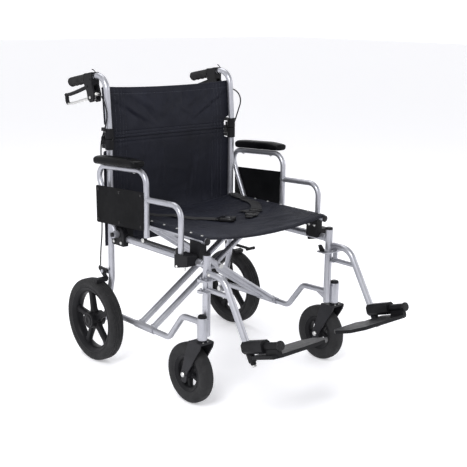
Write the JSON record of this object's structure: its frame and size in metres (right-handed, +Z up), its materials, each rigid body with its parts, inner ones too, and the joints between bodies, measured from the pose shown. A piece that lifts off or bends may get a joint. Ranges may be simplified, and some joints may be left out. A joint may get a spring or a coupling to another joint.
{
  "type": "folding transport wheelchair",
  "caption": "Heavy-duty folding transport wheelchair: tube side frames on a cross-brace, sling seat, half-folding back, flip-back armrests, swing-away footrests, attendant brakes",
  "frame": {"origin": "on the floor, midway across the chair and midway along its whole length", "axes": "+Z up, the chair faces -Y, +X is the occupant's left"},
  "size_m": [0.72, 1.1554, 1.0249],
  "materials": {
    "frame_paint": "satin silver-grey powder coat",
    "black_plastic": "moulded, fine grain",
    "pad_vinyl": "moulded skin, soft sheen",
    "nylon": "woven dark navy nylon",
    "tyre_rubber": "ribbed tread",
    "grip_rubber": "finger-grooved",
    "zinc_steel": "zinc-plated hardware",
    "cable_sheath": "smooth sheath"
  },
  "bodies": {
    "side_frame_right": {"side_frame_right": "frame_paint", "frame_fittings_right": "black_plastic", "armrest_brackets_right": "black_plastic", "rear_axle_right": "zinc_steel", "back_joint_lower_right": "black_plastic", "brake_cable_right": "cable_sheath", "back_upholstery_lower": "nylon"},
    "rear_wheel_right": {"rear_tyre_right": "tyre_rubber", "rear_rim_right": "black_plastic"},
    "caster_fork_right": {"caster_fork_right": "black_plastic", "caster_axle_right": "zinc_steel"},
    "caster_wheel_right": {"caster_tyre_right": "tyre_rubber", "caster_rim_right": "black_plastic"},
    "hanger_right": {"hanger_right": "frame_paint", "footplate_bracket_right": "black_plastic"},
    "hanger_latch_right": {"hanger_latch_right": "black_plastic"},
    "footplate_pin_right": {"footplate_pin_right": "zinc_steel"},
    "footplate_right": {"footplate_right": "black_plastic"},
    "armrest_right": {"armrest_frame_right": "frame_paint", "armrest_pad_right": "pad_vinyl", "side_panel_right": "black_plastic"},
    "armrest_lock_right": {"armrest_lock_right": "black_plastic"},
    "cane_right": {"back_cane_right": "frame_paint", "back_joint_upper_right": "black_plastic", "handle_grip_right": "grip_rubber", "brake_lever_mount_right": "black_plastic", "back_upholstery_upper": "nylon"},
    "brake_lever_right": {"brake_lever_right": "black_plastic"},
    "wheel_brake_right": {"wheel_brake_right": "black_plastic"},
    "side_frame_left": {"side_frame_left": "frame_paint", "frame_fittings_left": "black_plastic", "armrest_brackets_left": "black_plastic", "rear_axle_left": "zinc_steel", "back_joint_lower_left": "black_plastic", "brake_cable_left": "cable_sheath"},
    "rear_wheel_left": {"rear_tyre_left": "tyre_rubber", "rear_rim_left": "black_plastic"},
    "caster_fork_left": {"caster_fork_left": "black_plastic", "caster_axle_left": "zinc_steel"},
    "caster_wheel_left": {"caster_tyre_left": "tyre_rubber", "caster_rim_left": "black_plastic"},
    "hanger_left": {"hanger_left": "frame_paint", "footplate_bracket_left": "black_plastic"},
    "hanger_latch_left": {"hanger_latch_left": "black_plastic"},
    "footplate_pin_left": {"footplate_pin_left": "zinc_steel"},
    "footplate_left": {"footplate_left": "black_plastic"},
    "armrest_left": {"armrest_frame_left": "frame_paint", "armrest_pad_left": "pad_vinyl", "side_panel_left": "black_plastic"},
    "armrest_lock_left": {"armrest_lock_left": "black_plastic"},
    "cane_left": {"back_cane_left": "frame_paint", "back_joint_upper_left": "black_plastic", "handle_grip_left": "grip_rubber", "brake_lever_mount_left": "black_plastic"},
    "brake_lever_left": {"brake_lever_left": "black_plastic"},
    "wheel_brake_left": {"wheel_brake_left": "black_plastic"},
    "cross_brace_a": {"cross_brace_a": "frame_paint", "brace_bolt": "zinc_steel"},
    "cross_brace_b": {"cross_brace_b": "frame_paint"},
    "seat": {"seat_upholstery": "nylon"}
  },
  "joints": [
    {"name": "frame_fold", "type": "hinge", "parent": "side_frame_right", "child": "cross_brace_a", "pos_m": [-0.28, 0.111, 0.172], "axis": [0, -1, 0], "range_deg": [0, 36.5], "deforming": ["seat_upholstery", "back_upholstery_lower", "back_upholstery_upper"]},
    {"name": "brace_cross", "type": "hinge", "parent": "cross_brace_a", "child": "cross_brace_b", "pos_m": [0, 0.099, 0.35747], "axis": [0, -1, 0], "range_deg": [-73, 0]},
    {"name": "frame_left_pivot", "type": "hinge", "parent": "cross_brace_b", "child": "side_frame_left", "pos_m": [0.28, 0.087, 0.172], "axis": [0, -1, 0], "range_deg": [0, 36.5]},
    {"name": "seat_level", "type": "hinge", "parent": "cross_brace_b", "child": "seat", "pos_m": [-0.268, 0.03, 0.535], "axis": [0, -1, 0], "range_deg": [0, 36.5]},
    {"name": "rear_wheel_right_spin", "type": "hinge", "parent": "side_frame_right", "child": "rear_wheel_right", "pos_m": [-0.329, 0.338, 0.15], "axis": [1, 0, 0], "continuous": true},
    {"name": "caster_right_swivel", "type": "hinge", "parent": "side_frame_right", "child": "caster_fork_right", "pos_m": [-0.306, -0.238, 0.225], "axis": [0, 0, 1], "continuous": true},
    {"name": "caster_right_spin", "type": "hinge", "parent": "caster_fork_right", "child": "caster_wheel_right", "pos_m": [-0.306, -0.18, 0.1], "axis": [1, 0, 0], "continuous": true},
    {"name": "hanger_right_swing", "type": "hinge", "parent": "side_frame_right", "child": "hanger_right", "pos_m": [-0.304, -0.227, 0.4], "axis": [0, 0, -1], "range_deg": [0, 100]},
    {"name": "hanger_right_latch", "type": "hinge", "parent": "hanger_right", "child": "hanger_latch_right", "pos_m": [-0.245, -0.229, 0.428], "axis": [0, 0, 1], "range_deg": [0, 40]},
    {"name": "footplate_right_fold", "type": "hinge", "parent": "hanger_right", "child": "footplate_pin_right", "pos_m": [-0.287, -0.43, 0.253], "axis": [0, -0.9511, 0.309], "range_deg": [0, 82.12]},
    {"name": "footplate_right_flip", "type": "hinge", "parent": "footplate_pin_right", "child": "footplate_right", "pos_m": [-0.287, -0.43, 0.253], "axis": [0, -0.9511, 0.309], "range_deg": [0, 90]},
    {"name": "armrest_right_flip", "type": "hinge", "parent": "side_frame_right", "child": "armrest_right", "pos_m": [-0.312, 0.228, 0.482], "axis": [-1, 0, 0], "range_deg": [0, 95]},
    {"name": "armrest_right_lock", "type": "hinge", "parent": "side_frame_right", "child": "armrest_lock_right", "pos_m": [-0.306, -0.114, 0.49], "axis": [0, 0, 1], "range_deg": [0, 20]},
    {"name": "brake_lever_right", "type": "hinge", "parent": "cane_right", "child": "brake_lever_right", "pos_m": [-0.28, 0.388, 0.938], "axis": [1, 0, 0], "range_deg": [0, 6], "stiffness_Nm_per_rad": 0.6, "springref_deg": -20.05},
    {"name": "wheel_brake_right", "type": "hinge", "parent": "side_frame_right", "child": "wheel_brake_right", "pos_m": [-0.3, 0.322, 0.328], "axis": [1, 0, 0], "range_deg": [0, 3]},
    {"name": "back_fold_right", "type": "hinge", "parent": "side_frame_right", "child": "cane_right", "pos_m": [-0.28, 0.319, 0.802], "axis": [-1, 0, 0], "range_deg": [0, 100], "deforming": ["brake_cable_right", "brake_cable_left"]},
    {"name": "rear_wheel_left_spin", "type": "hinge", "parent": "side_frame_left", "child": "rear_wheel_left", "pos_m": [0.329, 0.338, 0.15], "axis": [1, 0, 0], "continuous": true},
    {"name": "caster_left_swivel", "type": "hinge", "parent": "side_frame_left", "child": "caster_fork_left", "pos_m": [0.306, -0.238, 0.225], "axis": [0, 0, 1], "continuous": true},
    {"name": "caster_left_spin", "type": "hinge", "parent": "caster_fork_left", "child": "caster_wheel_left", "pos_m": [0.306, -0.18, 0.1], "axis": [1, 0, 0], "continuous": true},
    {"name": "hanger_left_swing", "type": "hinge", "parent": "side_frame_left", "child": "hanger_left", "pos_m": [0.304, -0.227, 0.4], "axis": [0, 0, 1], "range_deg": [0, 100]},
    {"name": "hanger_left_latch", "type": "hinge", "parent": "hanger_left", "child": "hanger_latch_left", "pos_m": [0.245, -0.229, 0.428], "axis": [0, 0, -1], "range_deg": [0, 40]},
    {"name": "footplate_left_fold", "type": "hinge", "parent": "hanger_left", "child": "footplate_pin_left", "pos_m": [0.287, -0.43, 0.253], "axis": [0, 0.9511, -0.309], "range_deg": [0, 82.12]},
    {"name": "footplate_left_flip", "type": "hinge", "parent": "footplate_pin_left", "child": "footplate_left", "pos_m": [0.287, -0.43, 0.253], "axis": [0, 0.9511, -0.309], "range_deg": [0, 90]},
    {"name": "armrest_left_flip", "type": "hinge", "parent": "side_frame_left", "child": "armrest_left", "pos_m": [0.312, 0.228, 0.482], "axis": [-1, 0, 0], "range_deg": [0, 95]},
    {"name": "armrest_left_lock", "type": "hinge", "parent": "side_frame_left", "child": "armrest_lock_left", "pos_m": [0.306, -0.114, 0.49], "axis": [0, 0, -1], "range_deg": [0, 20]},
    {"name": "brake_lever_left", "type": "hinge", "parent": "cane_left", "child": "brake_lever_left", "pos_m": [0.28, 0.388, 0.938], "axis": [1, 0, 0], "range_deg": [0, 6], "stiffness_Nm_per_rad": 0.6, "springref_deg": -20.05},
    {"name": "wheel_brake_left", "type": "hinge", "parent": "side_frame_left", "child": "wheel_brake_left", "pos_m": [0.3, 0.322, 0.328], "axis": [1, 0, 0], "range_deg": [0, 3]},
    {"name": "back_fold_left", "type": "hinge", "parent": "side_frame_left", "child": "cane_left", "pos_m": [0.28, 0.319, 0.802], "axis": [-1, 0, 0], "range_deg": [0, 100]}
  ],
  "couplings": [
    {"joint": "brace_cross", "follows": "frame_fold", "ratio": -2},
    {"joint": "frame_left_pivot", "follows": "frame_fold", "ratio": 1},
    {"joint": "seat_level", "follows": "frame_fold", "ratio": 1},
    {"joint": "footplate_right_fold", "follows": "frame_fold", "ratio": 2.25},
    {"joint": "wheel_brake_right", "follows": "brake_lever_right", "ratio": 0.5},
    {"joint": "footplate_left_fold", "follows": "frame_fold", "ratio": 2.25},
    {"joint": "wheel_brake_left", "follows": "brake_lever_left", "ratio": 0.5},
    {"joint": "back_fold_left", "follows": "back_fold_right", "ratio": 1}
  ]
}
